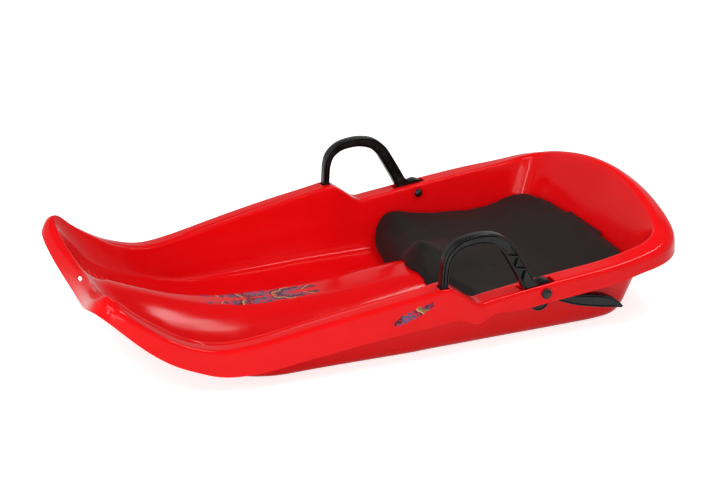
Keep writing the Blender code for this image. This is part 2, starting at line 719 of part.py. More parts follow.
def stud(number, x, pad):
    """Push stud that holds the pad through the top of the ridge."""
    top = FLOOR + eased(RIDGE_CREST, x)
    under = top - SHELL - STUD_CLEARANCE
    low = Vector((x, 0, under - STUD_HEAD_HEIGHT))
    bore = cylinder(STUD_RADIUS + STUD_CLEARANCE, Vector((x, 0, under - 0.01)),
                    Vector((x, 0, top + STUD_DEPTH + STUD_CLEARANCE)), 16)
    hole = add_object(f"stud_hole_{number}", bore)
    cut(pad, hole)
    cut(bpy.data.objects["shell"], hole)
    bm = cylinder(STUD_HEAD_RADIUS, low, Vector((x, 0, under)), 16)
    cap = max(bm.faces, key=lambda f: f.calc_center_median().z)
    made = bmesh.ops.inset_region(bm, faces=[cap], thickness=STUD_HEAD_RADIUS - STUD_RADIUS)
    made = bmesh.ops.extrude_face_region(bm, geom=[cap])
    tip = [v for v in made["geom"] if isinstance(v, bmesh.types.BMVert)]
    bmesh.ops.translate(bm, vec=(0, 0, top + STUD_DEPTH - under), verts=tip)
    bmesh.ops.delete(bm, geom=[cap], context="FACES_ONLY")
    bmesh.ops.recalc_face_normals(bm, faces=bm.faces)
    add_object(f"seat_stud_{number}", bm, "stud_black")


def main():
    for old in list(bpy.data.objects):
        bpy.data.objects.remove(old)
    shell()
    seat_pad()
    for name, side in SIDES.items():
        lever(name, side)
        fasteners(name, side)


main()
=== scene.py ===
"""Looks of a family bobsled: a glossy red moulded tub with a padded black seat and two black
brake levers, on a white studio floor.

Metres, +Z up, +X towards the nose, +Y towards the rider's left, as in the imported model.
"""
from math import cos, pi, radians, sin, tau

import bmesh
import bpy
import numpy as np
from mathutils import Matrix, Quaternion, Vector
from mathutils.bvhtree import BVHTree

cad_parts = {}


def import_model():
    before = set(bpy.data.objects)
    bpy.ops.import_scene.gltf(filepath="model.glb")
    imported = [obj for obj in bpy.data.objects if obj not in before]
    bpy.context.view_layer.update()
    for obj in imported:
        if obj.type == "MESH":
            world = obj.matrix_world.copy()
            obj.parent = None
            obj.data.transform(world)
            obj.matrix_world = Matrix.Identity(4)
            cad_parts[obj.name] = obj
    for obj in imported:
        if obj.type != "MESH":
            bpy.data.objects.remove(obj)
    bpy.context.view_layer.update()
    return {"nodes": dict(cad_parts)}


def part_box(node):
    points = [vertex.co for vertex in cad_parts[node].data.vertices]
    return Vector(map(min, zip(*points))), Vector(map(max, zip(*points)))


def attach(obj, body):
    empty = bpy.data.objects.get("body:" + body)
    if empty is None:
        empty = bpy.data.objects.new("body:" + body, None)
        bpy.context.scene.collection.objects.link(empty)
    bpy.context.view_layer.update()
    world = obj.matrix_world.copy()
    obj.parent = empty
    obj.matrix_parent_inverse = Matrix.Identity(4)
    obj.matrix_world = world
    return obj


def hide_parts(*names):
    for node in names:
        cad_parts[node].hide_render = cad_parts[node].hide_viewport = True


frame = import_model()

# Shell: skin thickness, and the outer edge of the rim from the middle of the nose to the middle of
# the back as x, y, z. The tables up to WALL_RADIUS are pairs of a place, counted in points of RIM,
# and a value there.
SHELL = 0.003
RIM = (
    (0.3885, 0.0000, 0.1020), (0.3930, 0.0600, 0.1065), (0.3990, 0.1080, 0.1190),
    (0.3985, 0.1455, 0.1325), (0.3755, 0.1660, 0.1240), (0.3515, 0.1700, 0.1045),
    (0.3210, 0.1785, 0.0825), (0.2890, 0.1830, 0.0678), (0.2575, 0.1860, 0.0600),
    (0.2137, 0.1915, 0.0630), (0.1483, 0.1975, 0.0748), (0.0779, 0.2035, 0.0867),
    (0.0071, 0.2077, 0.0972), (-0.0242, 0.2088, 0.1016), (-0.0410, 0.2092, 0.0945),
    (-0.0680, 0.2092, 0.0755), (-0.0884, 0.2085, 0.0765), (-0.1322, 0.2085, 0.0816),
    (-0.1912, 0.2100, 0.0880), (-0.2509, 0.2110, 0.0937), (-0.3006, 0.2070, 0.0983),
    (-0.3460, 0.1975, 0.1056), (-0.3762, 0.1678, 0.1122), (-0.3885, 0.1185, 0.1235),
    (-0.3948, 0.0612, 0.1329), (-0.3974, 0.0000, 0.1350),
)
# Line where the walls meet the floor, one point for each point of RIM: x, y.
BASE = (
    (0.3600, 0.0000), (0.3610, 0.0480), (0.3610, 0.0880), (0.3450, 0.1200), (0.3120, 0.1370),
    (0.2800, 0.1450), (0.2550, 0.1510), (0.2300, 0.1550), (0.2050, 0.1575), (0.1750, 0.1600),
    (0.1300, 0.1620), (0.0700, 0.1650), (0.0050, 0.1680), (-0.0240, 0.1680), (-0.0420, 0.1680),
    (-0.0590, 0.1680), (-0.0880, 0.1680), (-0.1300, 0.1680), (-0.1860, 0.1680),
    (-0.2310, 0.1670), (-0.2650, 0.1650), (-0.2945, 0.1580), (-0.3130, 0.1360),
    (-0.3180, 0.0960), (-0.3210, 0.0490), (-0.3220, 0.0000),
)
NOSE_CORNER = 3
REAR_CORNER = 22
ABOVE_RIM = 0.16
FLANGE_WIDTH = ((0, 0.013), (3, 0.015), (4.5, 0.022), (6, 0.030), (8, 0.0275), (13, 0.0285),
                (21, 0.029), (25, 0.023))
FLANGE_FALL = ((0, 0.002), (3, 0.006), (5, 0.0), (19, 0.0), (22, 0.008), (25, 0.013))
SKIRT_DEPTH = ((0, 0.020), (1, 0.016), (2, 0.0115), (3, 0.0115), (3.5, 0.017), (4, 0.025),
               (5, 0.030), (7, 0.030), (9, 0.037), (11, 0.040), (13, 0.045), (16, 0.0175),
               (17, 0.0245), (19, 0.0245), (20, 0.021), (25, 0.030))
SKIRT_FLARE = ((0, 0.003), (3, 0.003), (5, 0.002), (25, 0.002))
LIP_TUCK = ((0, 0.0040), (3, 0.0040), (4.5, 0.0))
INNER_ROLL = ((0, 0.0018), (3.5, 0.0022), (5, 0.0035), (19, 0.0035), (21, 0.008), (25, 0.012))
OUTER_ROLL = ((0, 0.012), (3.5, 0.011), (5, 0.007), (6, 0.0055), (18, 0.0055), (21, 0.010),
              (25, 0.014))
OUTER_MOST = ((0, 0.55), (3.5, 0.55), (5, 0.45), (25, 0.45))
WALL_RADIUS = ((0, 0.014), (9, 0.014), (13, 0.022), (17, 0.022), (21, 0.018), (25, 0.014))
WALL_STEPS = 7
# Floor: the sweep of the nose and the ridge between the footwells, by x.
SWEEP_START = 0.170
SWEEP_RATE = 2.1
RIDGE_CREST = ((-0.305, 0.0030), (-0.262, 0.0330), (-0.235, 0.0410), (-0.060, 0.0410),
               (0.000, 0.0375), (0.060, 0.0340), (0.120, 0.0340), (0.160, 0.0357), (0.200, 0.0403),
               (0.255, 0.0540), (0.307, 0.0737), (0.377, 0.1040))
RIDGE_FLAT = ((0.060, 0.018), (0.200, 0.012), (0.300, 0.004), (0.370, 0.001))
RIDGE_HALF_WIDTH = ((-0.30, 0.085), (0.10, 0.085), (0.30, 0.070), (0.39, 0.060))
RIDGE_ROUND = ((0.060, 1.2), (0.200, 1.1), (0.280, 0.90), (0.370, 0.85))
# Step in the flange round the nose: how deep the inner part lies, and its share of the width.
STEP_DEPTH = ((2, 0.0), (4, 0.0018), (6, 0.0026), (8, 0.0020), (10, 0.0007), (12, 0.0))
STEP_SHARE = ((3, 0.40), (6, 0.50), (7, 0.42), (8, 0.28), (12, 0.20))
STEP_RUN = 0.0014
# Low ribs across the inside of the nose, on both sides of the ridge.
RIBS = (0.3545, 0.3465, 0.3375, 0.3285)
RIB_Y = (0.034, 0.122)
RIB_RADIUS = 0.0014
RIB_BEND_START = 0.088
RIB_BEND = 0.35
# Mesh of the shell: columns across the floor, rows along it, closer together near the rim's step.
ACROSS = 32
ALONG = 150
RIM_SAMPLES = 900
MIDDLE_CROWDING = 1.25
STEP_X = -0.045
STEP_CROWDING = 1.4
STEP_REACH = 0.045
CRISP_REACH = 0.04
# How many times the sections are smoothed, and how many more times beyond an x at the nose.
SIDE_PASSES = 4
NOSE_PASSES = 8
NOSE_SOFT_START = 0.30
NOSE_SOFT_RUN = 0.05

ROPE_SLOT_WIDTH = 0.018
ROPE_SLOT_LENGTH = 0.0042
ROPE_SLOT_INSET = 0.0058
ROPE_SLOT_REACH = 0.012

# Brake levers: LOOP and CLAW are the middle lines of their strips as x, z, width.
PIVOT_X = -0.1613
PIVOT_Z = 0.0741
LEVER_PLANE = 0.1975
LEVER_THICKNESS = 0.013
LEVER_EDGE = 0.0015
LEVER_LIP = 0.0003
LEVER_GROOVE = 0.0015
LEVER_GROOVE_DEPTH = 0.0021
LEVER_SLOT_FRONT = -0.1280
LEVER_SLOT_REAR = -0.1775
LEVER_SLOT_GAP = 0.0015
HUB_RADIUS = 0.0160
FOOT = (-0.0232, 0.0985, 0.0090)
FOOT_NOTCH = 0.0066
FOOT_NOTCH_DEPTH = 0.02
ARC_STEPS = 16
LOOP = (
    FOOT, (-0.0240, 0.1160, 0.0092), (-0.0256, 0.1310, 0.0098), (-0.0310, 0.1445, 0.0108),
    (-0.0440, 0.1545, 0.0118), (-0.0605, 0.1582, 0.0125), (-0.0780, 0.1582, 0.0134),
    (-0.0955, 0.1530, 0.0150), (-0.1085, 0.1420, 0.0160), (-0.1170, 0.1290, 0.0164),
    (-0.1240, 0.1170, 0.0165), (-0.1312, 0.1045, 0.0166), (-0.1395, 0.0890, 0.0170),
)
CLAW = (
    (-0.1780, 0.0660, 0.0130), (-0.1970, 0.0585, 0.0140), (-0.2160, 0.0525, 0.0160),
    (-0.2340, 0.0485, 0.0170), (-0.2520, 0.0442, 0.0168), (-0.2670, 0.0390, 0.0120),
    (-0.2800, 0.0322, 0.0030),
)
LOBE = (-0.1570, 0.0612, 0.0136)
LATTICE_DEPTH = 0.0035
LATTICE_RIB = 0.0019
LATTICE_WALL = 0.0022
LATTICE_START = 0.655
LATTICE_END = 0.975
LATTICE_TURNS = 5

# Fasteners.
BOLT_RADIUS = 0.004
BORE_GAP = 0.0003
HEAD_RADIUS = 0.0068
HEAD_HEIGHT = 0.0042
NUT_RADIUS = 0.0062
NUT_HEIGHT = 0.0055
BOSS_RADIUS = 0.0092
BOSS_SPANS = ((0.1795, 0.1894), (0.2055, 0.2105))
DOME_STEPS = 8

# Seat pad: PAD_PROFILE is the middle's line as distance behind the front and height, PAD_POMMEL
# and PAD_EDGE are what the middle and the sides add to the height at a distance behind the front.
PAD_FRONT = -0.0575
PAD_FRONT_BOW = 0.029
PAD_HALF_WIDTH = 0.176
PAD_PROFILE = ((0.000, -0.004), (0.000, 0.020), (0.004, 0.034), (0.012, 0.044), (0.022, 0.048),
               (0.036, 0.0492), (0.060, 0.0495), (0.100, 0.0495), (0.150, 0.0495), (0.185, 0.0525),
               (0.215, 0.0585), (0.250, 0.0658), (0.280, 0.0717), (0.312, 0.0755))
PAD_POMMEL = ((0.000, 0.019), (0.012, 0.017), (0.022, 0.022), (0.030, 0.0257), (0.038, 0.0243),
              (0.045, 0.0197), (0.056, 0.0132), (0.066, 0.0092), (0.090, 0.005), (0.130, 0.002),
              (0.170, 0.000))
PAD_POMMEL_HALF_WIDTH = 0.062
PAD_EDGE = ((0.000, 0.004), (0.025, 0.009), (0.060, 0.003), (0.093, -0.002), (0.125, -0.0045),
            (0.158, -0.006), (0.191, -0.0045), (0.224, -0.0015), (0.300, 0.000))
PAD_EDGE_START = 0.100
PAD_UNDER = 0.001
PAD_ACROSS = 72
PAD_STEPS = 6
PAD_VOXEL = 0.004
PAD_SHRINK = 0.0015
PAD_CAP = 0.005
PAD_PROUD = 0.0010
PAD_SUNK = 0.0002
PAD_WALL_STRIP = 0.006
PAD_CLEAR = 0.0006
SWELL_FRAMES = 20

# Prints, one on the ridge and one on each side: centre, reach and tilt, and the colours of both.
PRINTS = (
    ((0.142, 0.010, 0.036), (0.104, 0.0115, 0.040), (0, 0, 0)),
    ((0.024, 0.2110, 0.0740), (0.042, 0.012, 0.0085), (0, 0.349, 0)),
)
PRINT_COLOURS = (
    (0.0, (0.08, 0.09, 0.17)), (0.20, (0.10, 0.008, 0.016)), (0.32, (0.025, 0.03, 0.09)),
    (0.50, (0.20, 0.16, 0.05)), (0.62, (0.62, 0.36, 0.20)), (0.69, (0.12, 0.008, 0.016)),
    (0.80, (0.05, 0.06, 0.13)), (0.93, (0.60, 0.02, 0.02)),
)

# Studio: the even light from all round; the walls, the ceiling from one slope to another and the
# floor as mirrored rays see them; the floor as the camera sees it; and the lamps as name, place,
# target, size, power and turn.
WORLD = 0.42
WALLS = 0.52
CEILING = (0.42, 0.62)
CEILING_GLOW = 0.14
FLOOR_GAP = 0.0006
FLOOR_SEEN = 0.72
FLOOR_MIRRORED = 0.28
LAMPS = (
    ("key", (1.15, 0.75, 1.65), (0, 0, 0.05), (1.2, 0.8), 15.5),
    ("front", (1.6, 2.2, 0.5), (0, 0.1, 0.07), (1.8, 0.8), 20.0),
    ("strip", (-0.60, 0.17, 1.18), (-0.60, 0.17, 0), (0.15, 0.80), 6.0, -52),
    ("nose_strip", (1.55, 0.75, 0.62), (-0.33, -0.16, 0.09), (0.16, 0.7), 4.0),
)
LENS = 82.057
CAMERA_PLACE = (0.7833154, 1.8598242, 0.9233409)
CAMERA_AXES = (
    (-0.92268912, 0.38554200, 0.00146848), (-0.14557021, -0.35190428, 0.92464734),
    (0.35700715, 0.85294827, 0.38082168),
)

# Edges sharper than this many degrees stay sharp, on plain pieces and on those with cuts.
SHARP = 35
SHARP_CUT = 38
SIDES = {"left": 1, "right": -1}
UP = Vector((0, 0, 1))


# ---- Shader nodes ----

def node(tree, kind, **settings):
    """A new node of a kind, with its settings."""
    made = tree.nodes.new(kind)
    for key, value in settings.items():
        setattr(made, key, value)
    return made


def feed(tree, made, **inputs):
    """Set or link a node's inputs: by name, with _ for a space, or by number, as in i0."""
    for key, value in inputs.items():
        socket = made.inputs[int(key[1:])] if key[0] == "i" and key[1:].isdigit() \
            else made.inputs[key.replace("_", " ")]
        if isinstance(value, bpy.types.NodeSocket):
            tree.links.new(value, socket)
        else:
            socket.default_value = value
    return made


def math(tree, operation, a, b=0.0, clamp=False):
    made = node(tree, "ShaderNodeMath", operation=operation, use_clamp=clamp)
    feed(tree, made, i0=a, i1=b)
    return made.outputs[0]


def spread(tree, value, low, high, to_low=0.0, to_high=1.0):
    """A value mapped smoothly from one range to another, held at its ends."""
    made = node(tree, "ShaderNodeMapRange", interpolation_type="SMOOTHSTEP")
    feed(tree, made, Value=value, From_Min=low, From_Max=high, To_Min=to_low, To_Max=to_high)
    return made.outputs[0]


def noise(tree, place, scale, detail=3.0, roughness=0.5, distortion=0.0):
    made = node(tree, "ShaderNodeTexNoise")
    feed(tree, made, Vector=place, Scale=scale, Detail=detail, Roughness=roughness,
         Distortion=distortion)
    return made.outputs["Fac"]


def tint(tree, factor, a, b):
    """Colour between a and b by a factor."""
    made = node(tree, "ShaderNodeMix", data_type="RGBA")
    feed(tree, made, i0=factor, i6=a, i7=b)
    return made.outputs[2]


def new_group(name, inputs, outputs):
    """An empty node group with number inputs (name: value) and number outputs."""
    tree = bpy.data.node_groups.new(name, "ShaderNodeTree")
    for key, value in inputs.items():
        socket = tree.interface.new_socket(key, in_out="INPUT", socket_type="NodeSocketFloat")
        socket.default_value = value
    for key in outputs:
        tree.interface.new_socket(key, in_out="OUTPUT", socket_type="NodeSocketFloat")
    return tree, tree.nodes.new("NodeGroupInput").outputs, tree.nodes.new("NodeGroupOutput")


def object_place(tree):
    return tree.nodes.new("ShaderNodeTexCoord").outputs["Object"]


def moulding_group():
    """Skin of moulded plastic: slow drift of tone and gloss, and the fine texture of the mould."""
    tree, given, out = new_group(
        "moulded_skin", {"Grain Scale": 900.0, "Drift Scale": 9.0, "Gloss Low": 0.3,
                         "Gloss High": 0.4}, ("Tone", "Roughness", "Height"))
    place = object_place(tree)
    drift = noise(tree, place, given["Drift Scale"], 2.0)
    patches = noise(tree, place, math(tree, "MULTIPLY", given["Drift Scale"], 5.0), 4.0, 0.6)
    grain = noise(tree, place, given["Grain Scale"], 2.0, 0.6)
    tone = spread(tree, math(tree, "ADD", math(tree, "MULTIPLY", drift, 0.7),
                             math(tree, "MULTIPLY", patches, 0.3)), 0.35, 0.65)
    gloss = spread(tree, patches, 0.3, 0.7, given["Gloss Low"], given["Gloss High"])
    feed(tree, out, Tone=tone, Roughness=gloss, Height=grain)
    return tree


def wear_group():
    """Mask of rubbed edges: strongest on sharp outer edges, broken up by a fine noise."""
    tree, given, out = new_group("edge_wear", {"Start": 0.53, "End": 0.62, "Breakup": 60.0},
                                 ("Mask",))
    sharp = tree.nodes.new("ShaderNodeNewGeometry").outputs["Pointiness"]
    edge = spread(tree, sharp, given["Start"], given["End"])
    broken = spread(tree, noise(tree, object_place(tree), given["Breakup"], 5.0, 0.7), 0.42, 0.62)
    feed(tree, out, Mask=math(tree, "MULTIPLY", edge, broken))
    return tree


def scuff_group():
    """Mask of fine scratches that run along the sled, in patches."""
    tree, given, out = new_group("scuffs", {"Density": 0.5}, ("Mask",))
    stretch = node(tree, "ShaderNodeMapping")
    feed(tree, stretch, Vector=object_place(tree), Scale=(14.0, 900.0, 420.0))
    lines = spread(tree, noise(tree, stretch.outputs[0], 1.0, 3.0, 0.6, 0.4), 0.66, 0.74)
    patches = spread(tree, noise(tree, object_place(tree), 12.0, 3.0), 0.45, 0.62)
    feed(tree, out, Mask=math(tree, "MULTIPLY", math(tree, "MULTIPLY", lines, patches),
                              given["Density"]))
    return tree


def nap_group():
    """Short nap of a padded cover: tiny fibres, a slow mottle and a little lint."""
    tree, given, out = new_group("cloth_nap", {"Fibre Scale": 1400.0},
                                 ("Mottle", "Lint", "Height"))
    place = object_place(tree)
    fibre = noise(tree, place, given["Fibre Scale"], 3.0, 0.7)
    weave = node(tree, "ShaderNodeTexVoronoi", feature="F1")
    feed(tree, weave, Vector=place, Scale=given["Fibre Scale"])
    mottle = spread(tree, noise(tree, place, 28.0, 4.0, 0.6), 0.3, 0.7)
    lint = spread(tree, noise(tree, place, 420.0, 2.0, 0.5), 0.70, 0.78)
    height = math(tree, "ADD", math(tree, "MULTIPLY", fibre, 0.6),
                  math(tree, "MULTIPLY", weave.outputs["Distance"], 0.6))
    feed(tree, out, Mottle=mottle, Lint=lint, Height=height)
    return tree


def use_group(tree, made, **inputs):
    placed = node(tree, "ShaderNodeGroup", node_tree=made)
    return feed(tree, placed, **inputs).outputs


def blank_material(name):
    made = bpy.data.materials.new(name)
    made.use_nodes = True
    return made, made.node_tree, made.node_tree.nodes["Principled BSDF"]


def bump(tree, height, strength, distance):
    made = node(tree, "ShaderNodeBump")
    feed(tree, made, Height=height, Strength=strength, Distance=distance)
    return made.outputs[0]


def rays(tree):
    """Whether a ray comes from the camera, and whether it was mirrored or let through."""
    path = tree.nodes.new("ShaderNodeLightPath").outputs
    return path["Is Camera Ray"], math(tree, "MAXIMUM", path["Is Glossy Ray"],
                                       path["Is Transmission Ray"])


def plastic(name, groups, light, dark, worn, gloss, grain, wear=(0.53, 0.62), strength=0.12,
            specular=0.5, scuffs=0.3):
    """Moulded plastic: two close tones, the mould's grain, rubbed edges and faint scratches."""
    made, tree, shader = blank_material(name)
    skin = use_group(tree, groups["skin"], Grain_Scale=grain, Gloss_Low=gloss[0],
                     Gloss_High=gloss[1])
    rubbed = use_group(tree, groups["wear"], Start=wear[0], End=wear[1])["Mask"]
    scratched = use_group(tree, groups["scuffs"], Density=scuffs)["Mask"]
    body = tint(tree, skin["Tone"], (*dark, 1), (*light, 1))
    body = tint(tree, math(tree, "MULTIPLY", rubbed, 0.6), body, (*worn, 1))
    rough = math(tree, "ADD", skin["Roughness"],
                 math(tree, "MULTIPLY", math(tree, "ADD", rubbed, scratched), 0.18), clamp=True)
    feed(tree, shader, Base_Color=body, Roughness=rough,
         Normal=bump(tree, skin["Height"], strength, 0.0002), Specular_IOR_Level=specular)
    return made, tree, shader, body


# ---- Shell ----

def along(table, place):
    """Value at a place of a table of (place, value) pairs, straight between them."""
    keys, values = zip(*table)
    return float(np.interp(place, keys, values))


def eased(table, x):
    """Value at x of a table of (x, value) pairs, as a smooth curve with no overshoot."""
    keys, values = (np.array(column, float) for column in zip(*table))
    if x <= keys[0]:
        return float(values[0])
    if x >= keys[-1]:
        return float(values[-1])
    rates = np.diff(values) / np.diff(keys)
    slopes = np.zeros(len(keys))
    slopes[0], slopes[-1] = rates[0], rates[-1]
    for k in range(1, len(rates)):
        if rates[k - 1] * rates[k] > 0:
            slopes[k] = 2 * rates[k - 1] * rates[k] / (rates[k - 1] + rates[k])
    i = int(np.searchsorted(keys, x, side="right")) - 1
    span = keys[i + 1] - keys[i]
    t = (x - keys[i]) / span
    return float((1 + 2 * t) * (1 - t) ** 2 * values[i] + t * (1 - t) ** 2 * span * slopes[i]
                 + t * t * (3 - 2 * t) * values[i + 1] + t * t * (t - 1) * span * slopes[i + 1])


def mirrored(points):
    """Points with one more at each end, that mirror the curve in y there."""
    points = np.array(points, float)
    flip = np.array((1, -1, 1))[:points.shape[1]]
    return np.vstack([points[1] * flip, points, points[-2] * flip])


def open_ended(points):
    """Points with one more at each end, in line with the last two there."""
    points = np.array(points, float)
    return np.vstack([2 * points[0] - points[1], points, 2 * points[-1] - points[-2]])


def spline(points, place):
    """Point of a smooth curve at a place counted in points; the end points only guide it."""
    i = min(int(place), len(points) - 4)
    t = place - i
    before, start, end, after = points[i:i + 4]
    return start + 0.5 * t * (end - before + t * (2 * before - 5 * start + 4 * end - after
                                                  + t * (3 * (start - end) + after - before)))


RIM_CURVE = mirrored(RIM)
BASE_CURVE = mirrored(BASE)
LAST = len(RIM) - 1


def floor_height(x, y):
    """Top of the floor, with its ridge and the sweep of the nose."""
    level = SHELL + SWEEP_RATE * max(0.0, x - SWEEP_START) ** 2
    half_width = eased(RIDGE_HALF_WIDTH, x)
    flat = eased(RIDGE_FLAT, x)
    t = min(1.0, max(0.0, (abs(y) - flat) / (half_width - flat)))
    rise = max(0.0, eased(RIDGE_CREST, x) - level)
    return level + rise * cos(pi / 2 * t ** eased(RIDGE_ROUND, x)) ** 2


def corner(start, bend, end, radius, steps, most=0.45):
    """Points that round the corner at bend, over most of its sides' lengths at most."""
    first = bend + (start - bend).normalized() * min(radius, most * (start - bend).length)
    last = bend + (end - bend).normalized() * min(radius, most * (end - bend).length)
    return [first.lerp(bend, t).lerp(bend.lerp(last, t), t)
            for t in (k / steps for k in range(steps + 1))]


def section(place, side):
    """Points of the shell at a place on the rim, from the floor over wall and flange to the
    skirt's hem, and how many of them there are up to the flange, the same at every place."""
    outer = Vector(spline(RIM_CURVE, place) * (1, side, 1))
    foot = Vector((*(spline(BASE_CURVE, place) * (1, side)), 0.0))
    run = spline(RIM_CURVE, min(LAST, place + 0.01)) - spline(RIM_CURVE, max(0, place - 0.01))
    out = Vector((-run[1], run[0] * side, 0.0)).normalized()
    if out.dot(outer - foot) < 0:
        out.negate()
    inward = (outer - foot).xy.to_3d().normalized()
    inner = outer - out * along(FLANGE_WIDTH, place)
    inner.z += along(FLANGE_FALL, place)
    hem = outer + out * along(SKIRT_FLARE, place) - UP * along(SKIRT_DEPTH, place)
    outer -= out * along(LIP_TUCK, place)
    foot.z = floor_height(foot.x, foot.y)
    radius = along(WALL_RADIUS, place)
    inwards = foot - inward * radius
    inwards.z = floor_height(inwards.x, inwards.y)
    wall = corner(inwards, foot, inner, radius, steps=6)
    wall[0] = inwards
    low = wall[-1]
    top = corner(foot, inner, outer, along(INNER_ROLL, place), steps=5)
    wall += [low.lerp(top[0], k / WALL_STEPS) for k in range(1, WALL_STEPS)]
    edge = corner(inner, outer, hem, along(OUTER_ROLL, place), steps=8,
                  most=along(OUTER_MOST, place))
    drop = UP * along(STEP_DEPTH, place)
    share = along(STEP_SHARE, place)
    half = min(STEP_RUN / 2 / (edge[0] - top[-1]).length, 0.4 * share, 0.3 * (1 - share))
    flat = [top[-1].lerp(edge[0], at) - drop for at in (0.4 * (share - half), share - half)]
    rest = 1 - share - half
    flat += [top[-1].lerp(edge[0], share + half + rest * at) for at in (0.0, 0.25, 0.6)]
    skirt = [edge[-1].lerp(hem, k / 3) for k in (1, 2, 3)]
    return wall + top + flat + edge + skirt, len(wall) + len(top)


def crowded(column):
    """Place of a column of the floor's grid, from -1 to 1, closer in the middle."""
    share = 2 * column / ACROSS - 1
    return abs(share) ** MIDDLE_CROWDING * (1 if share > 0 else -1)


def station_places():
    """Place on the rim and side of each station, round the shell from the nose's right corner."""
    reach = np.linspace(NOSE_CORNER, REAR_CORNER, RIM_SAMPLES)
    curve = np.array([spline(RIM_CURVE, p) for p in reach])
    length = np.linalg.norm(np.diff(curve, axis=0), axis=1)
    crowding = 1 + STEP_CROWDING * np.exp(-((curve[1:, 0] - STEP_X) / STEP_REACH) ** 2)
    measure = np.concatenate(([0.0], np.cumsum(length * crowding)))
    side = np.interp(np.linspace(0, measure[-1], ALONG + 1), measure, reach)
    half = ACROSS // 2
    shares = [crowded(half + k) for k in range(half + 1)]
    nose = [NOSE_CORNER * share for share in shares]
    back = [LAST - (LAST - REAR_CORNER) * share for share in shares[::-1]]
    left = [(p, 1) for p in (*nose, *side[1:], *back[1:])]
    right = [(p, -1) for p in (*nose[1:], *side[1:], *back[1:-1])]
    return right[:half][::-1] + left + right[half:][::-1]


def softened(points, times):
    """Points smoothed from one section to the next, some times over."""
    for _ in range(times):
        points = (np.roll(points, 1, 0) + 2 * points + np.roll(points, -1, 0)) / 4
    return points


def eased_round(sections):
    """The sections smoothed, more so at the nose, but not at the crisp step of the rim."""
    points = np.array([[tuple(p) for p in path] for path in sections])
    hem_x = points[:, -1, 0]
    smooth = softened(points, SIDE_PASSES)
    nose = np.clip((hem_x - NOSE_SOFT_START) / NOSE_SOFT_RUN, 0, 1)[:, None, None]
    smooth = smooth * (1 - nose) + softened(smooth, NOSE_PASSES) * nose
    crisp = np.exp(-((hem_x - STEP_X) / CRISP_REACH) ** 4)[:, None, None]
    return smooth * (1 - crisp) + points * crisp


def grid_ring(bm):
    """Border vertices of the floor's grid, in the order of the stations."""
    bm.verts.ensure_lookup_table()

    def vertex(row, column):
        return bm.verts[row * (ACROSS + 1) + column]

    ring = [vertex(ALONG, c) for c in range(ACROSS + 1)]
    ring += [vertex(r, ACROSS) for r in range(ALONG - 1, -1, -1)]
    ring += [vertex(0, c) for c in range(ACROSS - 1, -1, -1)]
    ring += [vertex(r, 0) for r in range(1, ALONG)]
    return ring


def ring_edges(bm, ring):
    return [bm.edges.get(pair) for pair in zip(ring, ring[1:] + ring[:1])]


def only(kind, made):
    """The vertices, or the edges, among what a bmesh operator made."""
    return [part for part in made["geom"] if isinstance(part, kind)]


def fill_floor(bm, border):
    """Spread the grid between its border points, and set it on the floor."""
    bm.verts.ensure_lookup_table()
    columns = ACROSS + 1
    front = border[:columns]
    left = border[ACROSS:ACROSS + ALONG + 1][::-1]
    rear = border[ACROSS + ALONG:ACROSS + ALONG + columns][::-1]
    right = np.vstack([border[2 * ACROSS + ALONG:], border[:1]])
    for index, vertex in enumerate(list(bm.verts)):
        row, column = divmod(index, columns)
        s = row / ALONG
        t = (1 + crowded(column)) / 2
        x, y, _ = (rear[column] * (1 - s) + front[column] * s + right[row] * (1 - t)
                   + left[row] * t - rear[0] * (1 - s) * (1 - t) - rear[-1] * (1 - s) * t
                   - front[0] * s * (1 - t) - front[-1] * s * t)
        vertex.co = (x, y, floor_height(x, y))


def shell_sheet(depths=None):
    """The shell's upper skin and its last ring of vertices: a grid for the floor, with its border
    extruded ring by ring, to a number of rings or to the hem."""
    bm = bmesh.new()
    bmesh.ops.create_grid(bm, x_segments=ACROSS, y_segments=ALONG, size=0.5)
    ring = grid_ring(bm)
    paths = eased_round([section(place, side)[0] for place, side in station_places()])
    if depths is None:
        depths = paths.shape[1]
    fill_floor(bm, paths[:, 0])
    for depth in range(1, depths):
        grown = bmesh.ops.extrude_edge_only(bm, edges=ring_edges(bm, ring))
        new = set(only(bmesh.types.BMVert, grown))
        ring = [next(e.other_vert(v) for e in v.link_edges if e.other_vert(v) in new)
                for v in ring]
        for vertex, point in zip(ring, paths[:, depth]):
            vertex.co = point
    bmesh.ops.recalc_face_normals(bm, faces=bm.faces)
    bm.faces.ensure_lookup_table()
    middle = min(bm.faces, key=lambda f: f.calc_center_median().to_2d().length)
    if middle.normal.z < 0:
        bmesh.ops.reverse_faces(bm, faces=bm.faces)
    return bm, ring


def shade(mesh, angle):
    """Shade a mesh smooth, but for edges sharper than an angle in degrees."""
    mesh.shade_smooth()
    mesh.set_sharp_from_angle(angle=radians(angle))


def add_piece(name, bm, material=None):
    """An object made of a bmesh, which is used up."""
    mesh = bpy.data.meshes.new(name)
    bm.to_mesh(mesh)
    bm.free()
    made = bpy.data.objects.new(name, mesh)
    bpy.context.scene.collection.objects.link(made)
    if material:
        mesh.materials.append(material)
    shade(mesh, SHARP)
    return made


def bmesh_of(mesh):
    bm = bmesh.new()
    bm.from_mesh(mesh)
    return bm


def bake(made):
    """Apply an object's modifiers."""
    bpy.context.view_layer.update()
    depsgraph = bpy.context.evaluated_depsgraph_get()
    mesh = bpy.data.meshes.new_from_object(made.evaluated_get(depsgraph), depsgraph=depsgraph)
    made.modifiers.clear()
    old = made.data
    made.data = mesh
    bpy.data.meshes.remove(old)


